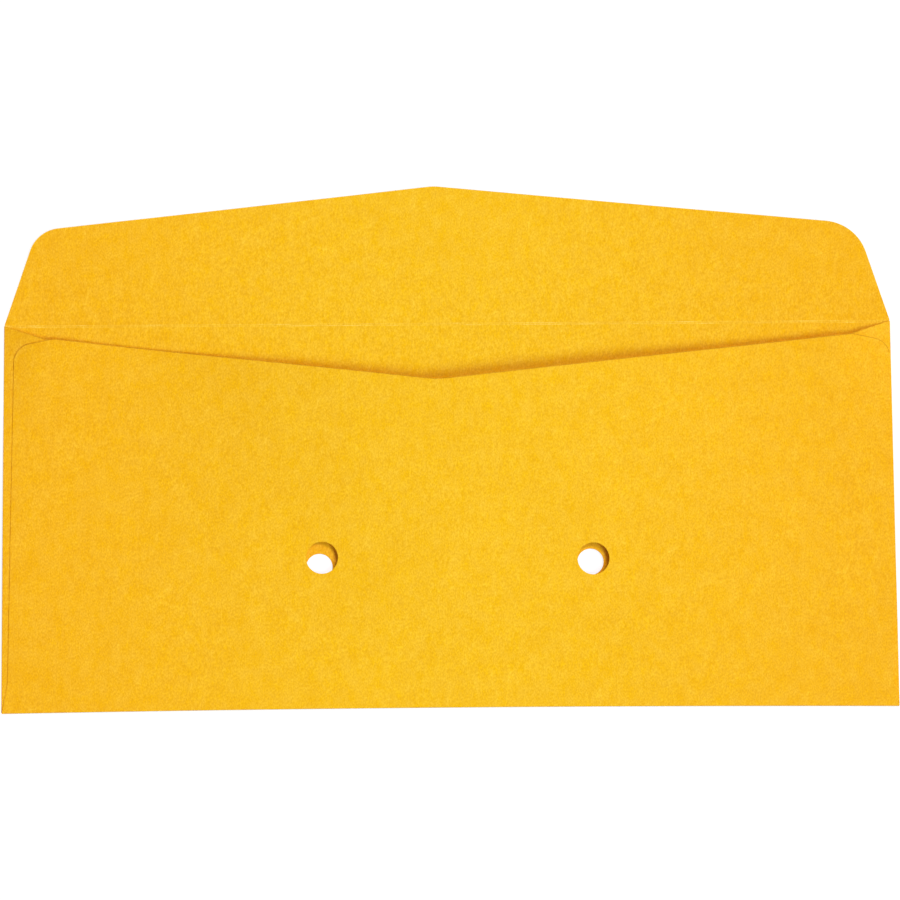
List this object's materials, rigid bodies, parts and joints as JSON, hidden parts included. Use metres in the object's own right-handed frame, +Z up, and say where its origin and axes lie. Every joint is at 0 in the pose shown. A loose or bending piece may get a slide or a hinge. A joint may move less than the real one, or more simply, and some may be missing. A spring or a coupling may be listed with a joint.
{
  "type": "interoffice envelope",
  "caption": "Number 10 side-seam envelope of gold kraft paper with a shallow pointed flap and round viewing holes through both panels.",
  "frame": {"origin": "centre of the front panel's outer face, which rests on the table", "axes": "+X along the long side to the right, +Y towards the open flap, +Z up out of the back panel"},
  "size_m": [0.2414, 0.1426, 0.0058],
  "materials": {
    "gold_kraft": "matte",
    "seam_glue": "satin"
  },
  "bodies": {
    "envelope": {"front_panel": "gold_kraft", "back_panel": "gold_kraft", "left_side_flap": "gold_kraft", "right_side_flap": "gold_kraft", "left_side_fold": "gold_kraft", "right_side_fold": "gold_kraft", "bottom_fold": "gold_kraft", "left_glue_seam": "seam_glue", "right_glue_seam": "seam_glue", "flap_fold": "gold_kraft"},
    "flap": {"seal_flap": "gold_kraft"}
  },
  "joints": [
    {"name": "flap_hinge", "type": "hinge", "parent": "envelope", "child": "flap", "pos_m": [0, 0.05239, 0.0004], "axis": [1, 0, 0], "range_deg": [0, 150]}
  ]
}
